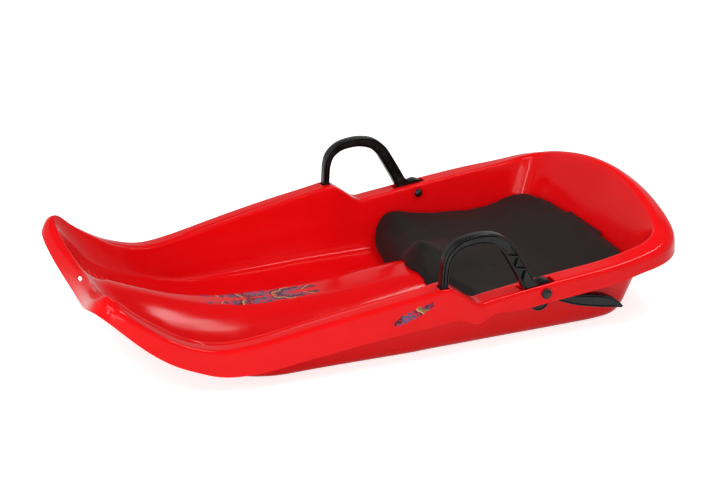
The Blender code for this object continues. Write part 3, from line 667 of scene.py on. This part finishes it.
def box(bm, low, high):
    """Add a box between two corners."""
    low, high = Vector(low), Vector(high)
    made = bmesh.ops.create_cube(bm, size=1.0)
    bmesh.ops.scale(bm, vec=high - low, verts=made["verts"])
    bmesh.ops.translate(bm, vec=(low + high) / 2, verts=made["verts"])


def cut(made, bm, operation="DIFFERENCE"):
    """Cut a bmesh from an object, or keep only what lies in both."""
    cutter = add_piece("cutter", bm)
    step = made.modifiers.new(operation.lower(), "BOOLEAN")
    step.operation = operation
    step.solver = "MANIFOLD"
    step.object = cutter
    bake(made)
    bpy.data.objects.remove(cutter)


def tube(bm, radius, start, end):
    """Add a solid round bar between two points."""
    start, end = Vector(start), Vector(end)
    turn = UP.rotation_difference(end - start).to_matrix().to_4x4()
    made = bmesh.ops.create_cone(bm, cap_ends=True, segments=32, radius1=radius,
                                 radius2=radius, depth=(end - start).length)
    bmesh.ops.transform(bm, matrix=turn, verts=made["verts"])
    bmesh.ops.translate(bm, vec=(start + end) / 2, verts=made["verts"])


def pour(bm, into):
    """Add a bmesh's faces to another one; the first is used up."""
    mesh = bpy.data.meshes.new("poured")
    bm.to_mesh(mesh)
    bm.free()
    into.from_mesh(mesh)
    bpy.data.meshes.remove(mesh)


def rib(bm, x, side):
    """Add a low rib that lies across the floor of the nose, as a bar half sunk in the skin."""
    bar = bmesh.new()
    bmesh.ops.create_cone(bar, cap_ends=True, segments=12, radius1=1.0, radius2=1.0, depth=1.0)
    long = [e for e in bar.edges if abs(e.verts[0].co.z - e.verts[1].co.z) > 0.5]
    bmesh.ops.subdivide_edges(bar, edges=long, cuts=24, use_grid_fill=True)
    for vertex in bar.verts:
        across, up, share = vertex.co
        share += 0.5
        y = RIB_Y[0] + (RIB_Y[1] - RIB_Y[0]) * share
        size = RIB_RADIUS * max(0.25, 1 - (2 * share - 1) ** 8)
        place = x - RIB_BEND * max(0.0, y - RIB_BEND_START)
        vertex.co = (place + size * across, y * side, floor_height(place, y) + size * up)
    pour(bar, bm)


def shell(material):
    tub = add_piece("tub", shell_sheet()[0], material)
    skin = tub.modifiers.new("skin", "SOLIDIFY")
    skin.thickness = SHELL
    skin.offset = -1.0
    skin.use_even_offset = True
    bake(tub)
    cuts = bmesh.new()
    half = LEVER_THICKNESS / 2 + LEVER_SLOT_GAP
    for side in SIDES.values():
        low, high = sorted(((LEVER_PLANE - half) * side, (LEVER_PLANE + half) * side))
        box(cuts, (LEVER_SLOT_REAR, low, PIVOT_Z + BOLT_RADIUS),
            (LEVER_SLOT_FRONT, high, ABOVE_RIM))
        box(cuts, (FOOT[0] - FOOT_NOTCH, low, FOOT[1] - FOOT_NOTCH_DEPTH),
            (FOOT[0] + FOOT_NOTCH, high, ABOVE_RIM))
    middle = Vector(RIM[0]) - Vector((ROPE_SLOT_INSET, 0, 0))
    reach = Vector((ROPE_SLOT_LENGTH / 2, ROPE_SLOT_WIDTH / 2, ROPE_SLOT_REACH))
    box(cuts, middle - reach, middle + reach)
    cut(tub, cuts)
    bosses = bmesh.new()
    for side in SIDES.values():
        for start, end in BOSS_SPANS:
            tube(bosses, BOSS_RADIUS, (PIVOT_X, start * side, PIVOT_Z),
                 (PIVOT_X, end * side, PIVOT_Z))
    for x in RIBS:
        for side in SIDES.values():
            rib(bosses, x, side)
    bmesh.ops.recalc_face_normals(bosses, faces=bosses.faces)
    shade(tub.data, SHARP_CUT)
    joined = bmesh_of(tub.data)
    pour(bosses, joined)
    joined.to_mesh(tub.data)
    joined.free()
    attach(tub, "sled")
    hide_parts("shell")


# ---- Brake levers ----

def strip(middle, steps):
    """The two sides of a flat strip, from its middle line and width (x, z, width)."""
    points = open_ended(middle)
    sides = ([], [])
    for k in range((len(middle) - 1) * steps + 1):
        place = k / steps
        x, z, width = spline(points, place)
        ahead = spline(points, min(len(middle) - 1, place + 0.01))
        behind = spline(points, max(0, place - 0.01))
        run = Vector((ahead[0] - behind[0], ahead[1] - behind[1])).normalized()
        across = Vector((-run.y, run.x)) * width / 2
        sides[0].append(Vector((x, z)) + across)
        sides[1].append(Vector((x, z)) - across)
    return sides


def arc(centre, radius, start, end):
    """Points on an arc in the lever's plane, between two angles in degrees."""
    angles = [radians(start + (end - start) * k / ARC_STEPS) for k in range(ARC_STEPS + 1)]
    return [Vector((centre[0] + radius * cos(a), centre[1] + radius * sin(a))) for a in angles]


def drawn_in(middle, margin):
    """A strip's middle line and widths, narrower by a margin at its sides and at its free end."""
    points = [(x, z, max(0.0012, width - 2 * margin)) for x, z, width in middle]
    end = 0 if middle is LOOP else -1
    near = points[1 if end == 0 else -2]
    pull = margin / max(0.001, ((points[end][0] - near[0]) ** 2
                                + (points[end][1] - near[1]) ** 2) ** 0.5)
    points[end] = tuple(a + (b - a) * pull for a, b in zip(points[end], near))
    return points


def lever_outline(margin=0.0):
    """Outline of a lever's side, drawn in by a margin."""
    inner, outer = strip(drawn_in(LOOP, margin), 5)
    lower, upper = strip(drawn_in(CLAW, margin), 4)
    lobe = arc(LOBE[:2], LOBE[2] - margin, 25, -165)
    hub = arc((PIVOT_X, PIVOT_Z), HUB_RADIUS - margin, 192, 62)
    return inner + lobe + lower + upper[::-1] + hub + outer[::-1]


def inset(triangle, distance):
    """A triangle drawn in by the same distance on each side."""
    a, b, c = triangle
    sides = ((b - c).length, (c - a).length, (a - b).length)
    middle = (a * sides[0] + b * sides[1] + c * sides[2]) / sum(sides)
    area = abs((b - a).x * (c - a).y - (b - a).y * (c - a).x) / 2
    return [middle + (p - middle) * (1 - distance * sum(sides) / 2 / area) for p in triangle]


def lattice():
    """Three-cornered pockets on both sides of a zigzag rib down the loop's rear leg."""
    points = open_ended(LOOP)
    turns = []
    for k in range(LATTICE_TURNS + 1):
        share = LATTICE_START + (LATTICE_END - LATTICE_START) * k / LATTICE_TURNS
        place = share * (len(points) - 3)
        x, z, width = spline(points, place)
        run = spline(points, place + 0.01) - spline(points, place - 0.01)
        across = Vector((-run[1], run[0])).normalized() * (width / 2 - LATTICE_WALL)
        turns.append(Vector((x, z)) + across * (1 if k % 2 else -1))
    return [inset(three, LATTICE_RIB / 2) for three in zip(turns, turns[1:], turns[2:])]


def prism(outlines, low, high):
    """Solid plates of the same outlines in X and Z, between two values of y."""
    bm = bmesh.new()
    for outline in outlines:
        face = bm.faces.new([bm.verts.new((p.x, low, p.y)) for p in outline])
        made = bmesh.ops.extrude_face_region(bm, geom=[face])
        bmesh.ops.translate(bm, vec=(0, high - low, 0), verts=only(bmesh.types.BMVert, made))
    bmesh.ops.recalc_face_normals(bm, faces=bm.faces)
    bmesh.ops.triangulate(bm, faces=[f for f in bm.faces if len(f.verts) > 4])
    return bm


def groove(y):
    """Ring that cuts a groove beside the rounded edge of the lever's face at y."""
    margin = LEVER_EDGE + LEVER_LIP
    deep = LEVER_GROOVE_DEPTH
    ring = add_piece("ring", prism([lever_outline(margin)], y - deep, y + deep))
    middle = prism([lever_outline(margin + LEVER_GROOVE)], y - 2 * deep, y + 2 * deep)
    cut(ring, middle)
    bm = bmesh_of(ring.data)
    bpy.data.objects.remove(ring)
    return bm


def lever(name, side, material):
    """One lever: rounded edges, grooves round both faces, and pockets down the rear leg."""
    faces = sorted(((LEVER_PLANE - LEVER_THICKNESS / 2) * side,
                    (LEVER_PLANE + LEVER_THICKNESS / 2) * side))
    bm = prism([lever_outline()], *faces)
    rims = [e for e in bm.edges if abs(e.verts[0].co.y - e.verts[1].co.y) < 1e-6
            and e.calc_face_angle(0) > 1]
    bmesh.ops.bevel(bm, geom=rims, offset=LEVER_EDGE, segments=4, profile=0.5, affect="EDGES",
                    material=-1, clamp_overlap=False)
    made = add_piece(f"brake_handle_{name}", bm, material)
    for y in faces:
        cut(made, groove(y))
    outer = (LEVER_PLANE + LEVER_THICKNESS / 2) * side
    ends = sorted((outer - LATTICE_DEPTH * side, outer + LATTICE_DEPTH * side))
    cut(made, prism(lattice(), *ends))
    bore = bmesh.new()
    tube(bore, BOLT_RADIUS + BORE_GAP, (PIVOT_X, faces[0] - 0.01, PIVOT_Z),
         (PIVOT_X, faces[1] + 0.01, PIVOT_Z))
    cut(made, bore)
    shade(made.data, SHARP_CUT)
    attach(made, f"brake_{name}")
    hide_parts(f"brake_lever_{name}")


# ---- Fasteners ----

def turned(profile, side):
    """Round solid about the pivot's axis, from a profile of (radius, y) pairs."""
    bm = bmesh.new()
    verts = [bm.verts.new((PIVOT_X + r, y * side, PIVOT_Z)) for r, y in profile]
    edges = [bm.edges.new(pair) for pair in zip(verts, verts[1:])]
    bmesh.ops.spin(bm, geom=verts + edges, cent=(PIVOT_X, 0, PIVOT_Z), axis=(0, 1, 0),
                   angle=tau, steps=48, use_merge=True)
    bmesh.ops.remove_doubles(bm, verts=bm.verts, dist=1e-6)
    bmesh.ops.recalc_face_normals(bm, faces=bm.faces)
    return bm


def dome(radius, start, height):
    """Profile of a domed end, from its rim at start to its top, as (radius, y) pairs."""
    return [(radius * cos(a), start + height * sin(a))
            for a in (pi / 2 * k / DOME_STEPS for k in range(DOME_STEPS + 1))]


def fasteners(name, side, material):
    """Bolt with a groove round the dome of its head, and a domed nut on a flat collar."""
    low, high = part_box(f"pivot_bolt_{name}")
    ends = sorted((abs(low.y), abs(high.y)))
    under = ends[1] - HEAD_HEIGHT
    low_rim = under + HEAD_HEIGHT * 0.55
    bolt = turned([(0, ends[0]), (BOLT_RADIUS, ends[0]), (BOLT_RADIUS, under),
                   (HEAD_RADIUS * 0.96, under), (HEAD_RADIUS, under + 0.0006),
                   (HEAD_RADIUS, low_rim - 0.0006), (HEAD_RADIUS * 0.95, low_rim),
                   (HEAD_RADIUS * 0.84, low_rim), (HEAD_RADIUS * 0.80, low_rim - 0.0007),
                   (HEAD_RADIUS * 0.74, low_rim - 0.0007),
                   *dome(HEAD_RADIUS * 0.70, low_rim, ends[1] - low_rim)], side)
    made = add_piece(f"bolt_{name}", bolt, material)
    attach(made, "sled")
    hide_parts(f"pivot_bolt_{name}")
    low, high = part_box(f"cap_nut_{name}")
    face = max(abs(low.y), abs(high.y))
    bore = BOLT_RADIUS + BORE_GAP
    bottom = face - NUT_HEIGHT * 0.5 - 0.0003
    nut = turned([(0, bottom), (bore, bottom), (bore, face), (NUT_RADIUS * 0.97, face),
                  (NUT_RADIUS, face - 0.0004), (NUT_RADIUS, face - 0.0011),
                  (NUT_RADIUS * 0.9, face - 0.0014),
                  *dome(NUT_RADIUS * 0.86, face - 0.0016, -NUT_HEIGHT + 0.0016)], side)
    made = add_piece(f"nut_{name}", nut, material)
    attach(made, "sled")
    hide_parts(f"cap_nut_{name}")


# ---- Seat pad ----

def pad_point(share, behind, height):
    """A point of the pad's top, at a share of the half width across it."""
    y = share * PAD_HALF_WIDTH
    across = abs(y)
    x = PAD_FRONT - PAD_FRONT_BOW * (across / PAD_HALF_WIDTH) ** 1.4 - behind
    if height > 0:
        middle = max(0.0, 1 - across / PAD_POMMEL_HALF_WIDTH)
        edge = max(0.0, (across - PAD_EDGE_START) / (PAD_HALF_WIDTH - PAD_EDGE_START))
        height += eased(PAD_POMMEL, behind) * sin(pi / 2 * middle) ** 2
        height += eased(PAD_EDGE, behind) * sin(pi / 2 * edge) ** 2
    return Vector((x, y, height))


def close_flat(bm, edges, height):
    """Extrude a border to one height, and close it there with a flat face."""
    made = bmesh.ops.extrude_edge_only(bm, edges=edges)
    for vertex in only(bmesh.types.BMVert, made):
        vertex.co.z = height
    border = [e for e in only(bmesh.types.BMEdge, made) if e.is_boundary]
    bmesh.ops.contextual_create(bm, geom=border)
    bmesh.ops.recalc_face_normals(bm, faces=bm.faces)


def pad_block():
    """The pad's block, before the tub trims it."""
    profile = open_ended(PAD_PROFILE)
    rows = (len(PAD_PROFILE) - 1) * PAD_STEPS
    bm = bmesh.new()
    bmesh.ops.create_grid(bm, x_segments=PAD_ACROSS, y_segments=rows, size=0.5)
    for index, vertex in enumerate(list(bm.verts)):
        row, column = divmod(index, PAD_ACROSS + 1)
        behind, height = spline(profile, row / PAD_STEPS)
        vertex.co = pad_point(2 * column / PAD_ACROSS - 1, behind, height)
    close_flat(bm, [e for e in bm.edges if e.is_boundary], PAD_PROFILE[0][1] - PAD_UNDER)
    return bm


def tub_space():
    """The space in the tub, clear of its skin, closed with a flat lid above the rim."""
    _, rings = section(0, 1)
    bm, ring = shell_sheet(rings)
    bm.normal_update()
    for vertex in bm.verts:
        vertex.co += vertex.normal * PAD_CLEAR
    close_flat(bm, ring_edges(bm, ring), ABOVE_RIM)
    return bm


def surface_of(bm):
    """Search tree of a bmesh's faces; the bmesh is used up."""
    bmesh.ops.triangulate(bm, faces=bm.faces)
    tree = BVHTree.FromBMesh(bm)
    bm.free()
    return tree


def relax(bm):
    bmesh.ops.smooth_vert(bm, verts=bm.verts, factor=0.5, use_axis_x=True, use_axis_y=True,
                          use_axis_z=True)


def points_of(mesh):
    flat = np.zeros(len(mesh.vertices) * 3)
    mesh.vertices.foreach_get("co", flat)
    return flat.reshape(-1, 3)


def set_points(mesh, points):
    mesh.vertices.foreach_set("co", points.ravel())
    mesh.update()


def swell(made):
    """Blow the cover up a little with a cloth simulation, each point by PAD_CAP at most."""
    start = points_of(made.data)
    cloth = made.modifiers.new("cloth", "CLOTH")
    cloth.settings.quality = 5
    cloth.settings.mass = 0.2
    cloth.settings.tension_stiffness = 20
    cloth.settings.compression_stiffness = 20
    cloth.settings.bending_stiffness = 0.6
    cloth.settings.use_pressure = True
    cloth.settings.uniform_pressure_force = 4
    cloth.settings.effector_weights.gravity = 0
    cloth.collision_settings.use_collision = False
    for step in range(1, SWELL_FRAMES + 1):
        bpy.context.scene.frame_set(step)
    depsgraph = bpy.context.evaluated_depsgraph_get()
    moved = points_of(made.evaluated_get(depsgraph).data) - start
    reach = np.linalg.norm(moved, axis=1, keepdims=True)
    moved *= np.minimum(1.0, PAD_CAP / np.maximum(reach, 1e-9))
    made.modifiers.clear()
    bpy.context.scene.frame_set(1)
    set_points(made.data, start + moved)


def press_down(mesh, form, walls):
    points = points_of(mesh)
    for index, point in enumerate(points):
        point = Vector(point)
        near, normal, _, _ = form.find_nearest(point)
        _, _, _, from_wall = walls.find_nearest(point)
        on_top = normal.z > 0.3 and from_wall > PAD_WALL_STRIP
        proud = PAD_PROUD if on_top else -PAD_SUNK
        if (point - near).dot(normal) > proud:
            points[index] = near + normal * proud
    set_points(mesh, points)


def seat_pad(material):
    pad = add_piece("seat_cover", pad_block(), material)
    cut(pad, tub_space(), "INTERSECT")
    form = surface_of(bmesh_of(pad.data))
    remesh = pad.modifiers.new("remesh", "REMESH")
    remesh.mode = "VOXEL"
    remesh.voxel_size = PAD_VOXEL
    bake(pad)
    bm = bmesh_of(pad.data)
    relax(bm)
    relax(bm)
    bm.normal_update()
    for vertex in bm.verts:
        vertex.co -= vertex.normal * PAD_SHRINK
    bm.to_mesh(pad.data)
    bm.free()
    swell(pad)
    press_down(pad.data, form, surface_of(tub_space()))
    bm = bmesh_of(pad.data)
    relax(bm)
    bm.to_mesh(pad.data)
    bm.free()
    smooth = pad.modifiers.new("smooth", "SUBSURF")
    smooth.levels = 1
    smooth.render_levels = 1
    bake(pad)
    pad.data.shade_smooth()
    pad.data.materials.clear()
    pad.data.materials.append(material)
    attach(pad, "sled")
    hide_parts("seat_pad")


# ---- Materials ----

def print_patch(tree, centre, reach, tilt):
    """Mask and colours of a small printed design: loose waves of colour in a ragged oval."""
    turn = node(tree, "ShaderNodeMapping", vector_type="TEXTURE")
    feed(tree, turn, Vector=mirrored_place(tree), Location=centre, Rotation=tilt)
    inside = node(tree, "ShaderNodeVectorMath", operation="MULTIPLY")
    scale = tuple(1 / r for r in reach)
    feed(tree, inside, i0=turn.outputs[0], i1=scale)
    length = node(tree, "ShaderNodeVectorMath", operation="LENGTH")
    feed(tree, length, i0=inside.outputs[0])
    ragged = noise(tree, turn.outputs[0], 55.0, 4.0, 0.6, 1.0)
    far = math(tree, "ADD", length.outputs["Value"], math(tree, "MULTIPLY", ragged, 1.3))
    oval = spread(tree, far, 1.44, 1.38)
    waves = node(tree, "ShaderNodeTexWave", wave_type="BANDS", bands_direction="DIAGONAL",
                 wave_profile="SAW")
    feed(tree, waves, Vector=turn.outputs[0], Scale=12.0, Distortion=8.0, Detail=2.0,
         Detail_Scale=2.0)
    ramp = node(tree, "ShaderNodeValToRGB")
    ramp.color_ramp.interpolation = "CONSTANT"
    for at, _ in PRINT_COLOURS[2:]:
        ramp.color_ramp.elements.new(at)
    for element, (at, colour) in zip(ramp.color_ramp.elements, PRINT_COLOURS):
        element.position = at
        element.color = (*colour, 1)
    feed(tree, ramp, Fac=waves.outputs["Fac"])
    gaps = spread(tree, noise(tree, turn.outputs[0], 190.0, 3.0, 0.6, 2.0), 0.40, 0.46)
    return math(tree, "MULTIPLY", oval, gaps), ramp.outputs["Color"]


def mirrored_place(tree):
    """Object coordinates with y made positive, so that both sides carry the same print."""
    parts = node(tree, "ShaderNodeSeparateXYZ")
    feed(tree, parts, Vector=object_place(tree))
    joined = node(tree, "ShaderNodeCombineXYZ")
    feed(tree, joined, X=parts.outputs["X"], Y=math(tree, "ABSOLUTE", parts.outputs["Y"]),
         Z=parts.outputs["Z"])
    return joined.outputs[0]


def shell_red(groups):
    made, tree, shader, body = plastic(
        "moulded_red", groups, (0.80, 0.0035, 0.0055), (0.76, 0.0025, 0.0042), (0.85, 0.04, 0.04),
        (0.12, 0.16), 700.0, wear=(0.56, 0.70), strength=0.04, specular=0.18, scuffs=0.0)
    for centre, reach, tilt in PRINTS:
        mask, colours = print_patch(tree, centre, reach, tilt)
        body = tint(tree, mask, body, colours)
    feed(tree, shader, Base_Color=body)
    return made


def pad_black(groups):
    made, tree, shader = blank_material("padded_cover")
    nap = use_group(tree, groups["nap"])
    body = tint(tree, nap["Mottle"], (0.0070, 0.0046, 0.0045, 1), (0.0102, 0.0070, 0.0068, 1))
    body = tint(tree, math(tree, "MULTIPLY", nap["Lint"], 0.12), body, (0.08, 0.07, 0.07, 1))
    rough = spread(tree, nap["Mottle"], 0.0, 1.0, 0.58, 0.68)
    feed(tree, shader, Base_Color=body, Roughness=rough, Specular_IOR_Level=0.26,
         Sheen_Weight=0.02, Sheen_Roughness=0.5,
         Normal=bump(tree, nap["Height"], 0.18, 0.0003))
    return made


def steel(groups):
    made, tree, shader = blank_material("washer_steel")
    skin = use_group(tree, groups["skin"], Grain_Scale=1500.0, Gloss_Low=0.28, Gloss_High=0.42)
    body = tint(tree, skin["Tone"], (0.42, 0.42, 0.43, 1), (0.55, 0.55, 0.56, 1))
    feed(tree, shader, Base_Color=body, Roughness=skin["Roughness"], Metallic=1.0,
         Normal=bump(tree, skin["Height"], 0.1, 0.0001))
    return made


# ---- Studio ----

def floor():
    """White floor that takes the sled's shadow, just under it."""
    bm = bmesh.new()
    bmesh.ops.create_grid(bm, x_segments=2, y_segments=2, size=6.0)
    made, tree, shader = blank_material("studio_floor")
    grain = noise(tree, object_place(tree), 3.0, 2.0)
    body = tint(tree, grain, (0.80, 0.80, 0.80, 1), (0.83, 0.83, 0.83, 1))
    seen, mirrored = rays(tree)
    glow = math(tree, "ADD", math(tree, "MULTIPLY", seen, FLOOR_SEEN),
                math(tree, "MULTIPLY", mirrored, FLOOR_MIRRORED))
    feed(tree, shader, Base_Color=body, Roughness=0.9, Specular_IOR_Level=0.1,
         Emission_Color=(1, 1, 1, 1), Emission_Strength=glow)
    sheet = add_piece("studio_floor", bm, made)
    sheet.data.transform(Matrix.Translation((0, 0, -FLOOR_GAP)))


def world():
    """Plain even light, white to the camera; mirrored rays see pale walls and a dark ceiling."""
    made = bpy.data.worlds.new("studio")
    bpy.context.scene.world = made
    made.use_nodes = True
    tree = made.node_tree
    sky = tree.nodes["Background"]
    seen, mirrored = rays(tree)
    parts = node(tree, "ShaderNodeSeparateXYZ")
    feed(tree, parts, Vector=tree.nodes.new("ShaderNodeTexCoord").outputs["Generated"])
    room = spread(tree, parts.outputs["Z"], *CEILING, WALLS, CEILING_GLOW)
    lit = node(tree, "ShaderNodeMix", data_type="FLOAT")
    feed(tree, lit, i0=mirrored, i2=WORLD, i3=room)
    shown = node(tree, "ShaderNodeMix", data_type="FLOAT")
    feed(tree, shown, i0=seen, i2=lit.outputs[0], i3=1.0)
    feed(tree, sky, Color=(1, 1, 1, 1), Strength=shown.outputs[0])


def lamp(name, place, target, size, power, turn=0.0):
    """A soft rectangular lamp at a place, aimed at a target, turned some degrees on its axis."""
    data = bpy.data.lights.new(name, "AREA")
    data.shape = "RECTANGLE"
    data.size, data.size_y = size
    data.energy = power
    made = bpy.data.objects.new(name, data)
    bpy.context.scene.collection.objects.link(made)
    made.location = place
    aim = (Vector(place) - Vector(target)).to_track_quat("Z", "Y")
    made.rotation_euler = (aim @ Quaternion(UP, radians(turn))).to_euler()


def camera():
    data = bpy.data.cameras.new("camera")
    data.lens = LENS
    data.sensor_width = 36.0
    data.clip_start = 0.01
    made = bpy.data.objects.new("camera", data)
    bpy.context.scene.collection.objects.link(made)
    turn = Matrix(CAMERA_AXES).transposed().to_4x4()
    made.matrix_world = Matrix.Translation(CAMERA_PLACE) @ turn
    bpy.context.scene.camera = made


def main():
    camera()
    groups = {"skin": moulding_group(), "wear": wear_group(), "scuffs": scuff_group(),
              "nap": nap_group()}
    red = shell_red(groups)
    black = plastic("lever_satin", groups, (0.0050, 0.0050, 0.0050), (0.0034, 0.0034, 0.0034),
                    (0.03, 0.03, 0.03), (0.24, 0.31), 1200.0, strength=0.08,
                    specular=0.30)[0]
    gloss = plastic("bolt_gloss", groups, (0.007, 0.007, 0.007), (0.005, 0.005, 0.005),
                    (0.05, 0.05, 0.05), (0.20, 0.28), 1600.0, strength=0.05)[0]
    stud = plastic("stud_plastic", groups, (0.018, 0.018, 0.019), (0.012, 0.012, 0.013),
                   (0.06, 0.06, 0.06), (0.45, 0.55), 1200.0)[0]
    metal = steel(groups)
    shell(red)
    seat_pad(pad_black(groups))
    for name, side in SIDES.items():
        lever(name, side, black)
        fasteners(name, side, gloss)
        for place in ("inner", "outer"):
            frame["nodes"][f"washer_{place}_{name}"].material_slots[0].material = metal
    for number in (1, 2):
        frame["nodes"][f"seat_stud_{number}"].material_slots[0].material = stud
    floor()
    world()
    for values in LAMPS:
        lamp(*values)


bpy.context.scene.view_settings.view_transform = "Standard"
main()
